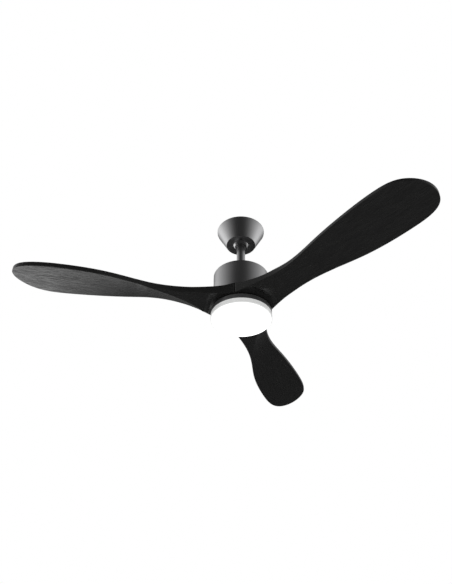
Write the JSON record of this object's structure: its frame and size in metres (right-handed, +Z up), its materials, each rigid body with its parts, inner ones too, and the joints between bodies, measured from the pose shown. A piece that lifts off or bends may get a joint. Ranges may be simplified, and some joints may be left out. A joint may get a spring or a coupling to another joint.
{
  "type": "ceiling fan with light",
  "caption": "Ceiling fan with carved black wood blades, a drum motor housing, a short downrod and a round opal light underneath.",
  "frame": {"origin": "middle of the hanger bracket's flat top face, which lies on the ceiling", "axes": "+Z up, out of the ceiling face; the stem, the rotor and the shade share the Z axis and hang below it; the stem tilts about the Y direction"},
  "size_m": [1.1319, 1.1351, 0.3539],
  "materials": {
    "graphite_paint": "satin",
    "black_wood": "satin painted grain",
    "zinc_steel": "satin",
    "screw_steel": "satin",
    "cast_alloy": "cast",
    "copper_wire": "varnished wire",
    "core_steel": "laminated",
    "magnet_ferrite": "matte",
    "rubber": "matte",
    "opal_acrylic": "opal satin",
    "black_plastic": "matte",
    "cable_sheath": "matte",
    "led_board": "white solder mask"
  },
  "bodies": {
    "ceiling_mount": {"hanger_bracket": "zinc_steel", "canopy": "graphite_paint", "canopy_screw_1": "screw_steel", "canopy_screw_2": "screw_steel", "receiver_box": "black_plastic", "terminal_block": "black_plastic", "receiver_lead": "cable_sheath"},
    "hanging_stem": {"hanger_ball": "graphite_paint", "ball_cross_pin": "screw_steel", "ball_set_screw": "screw_steel", "downrod": "graphite_paint", "coupling_cover": "graphite_paint", "yoke": "cast_alloy", "clevis_pin": "screw_steel", "cotter_pin": "screw_steel", "yoke_set_screw_1": "screw_steel", "yoke_set_screw_2": "screw_steel", "motor_housing": "graphite_paint", "housing_screw_1": "screw_steel", "housing_screw_2": "screw_steel", "housing_screw_3": "screw_steel", "motor_shaft": "screw_steel", "bearing_inner_top": "zinc_steel", "bearing_inner_bottom": "zinc_steel", "bearing_spacer": "cast_alloy", "stator_core": "core_steel", "stator_windings": "copper_wire", "wire_harness": "cable_sheath", "light_pan": "graphite_paint", "shaft_washer": "zinc_steel", "shaft_nut": "zinc_steel", "led_board": "led_board", "led_screw_1": "screw_steel", "led_screw_2": "screw_steel", "led_screw_3": "screw_steel"},
    "rotor": {"rotor_cup": "cast_alloy", "rotor_lid": "cast_alloy", "rotor_screw_1": "screw_steel", "rotor_screw_2": "screw_steel", "rotor_screw_3": "screw_steel", "magnet_ring": "magnet_ferrite", "bearing_outer_top": "zinc_steel", "bearing_outer_bottom": "zinc_steel", "hub_gasket": "rubber", "blade_clamp_plate": "zinc_steel", "blade_1": "black_wood", "blade_2": "black_wood", "blade_3": "black_wood", "blade_screw_1": "screw_steel", "blade_screw_2": "screw_steel", "blade_screw_3": "screw_steel", "blade_screw_4": "screw_steel", "blade_screw_5": "screw_steel", "blade_screw_6": "screw_steel"},
    "shade": {"shade": "opal_acrylic"}
  },
  "joints": [
    {"name": "hanger_tilt", "type": "hinge", "parent": "ceiling_mount", "child": "hanging_stem", "pos_m": [0, 0, -0.0405], "axis": [0, 1, 0], "range_deg": [-18, 18]},
    {"name": "rotor_spin", "type": "hinge", "parent": "hanging_stem", "child": "rotor", "pos_m": [0, 0, -0.3125], "axis": [0, 0, 1], "continuous": true},
    {"name": "shade_twist", "type": "hinge", "parent": "hanging_stem", "child": "shade", "pos_m": [0, 0, -0.3378], "axis": [0, 0, -1], "range_deg": [0, 24]}
  ]
}
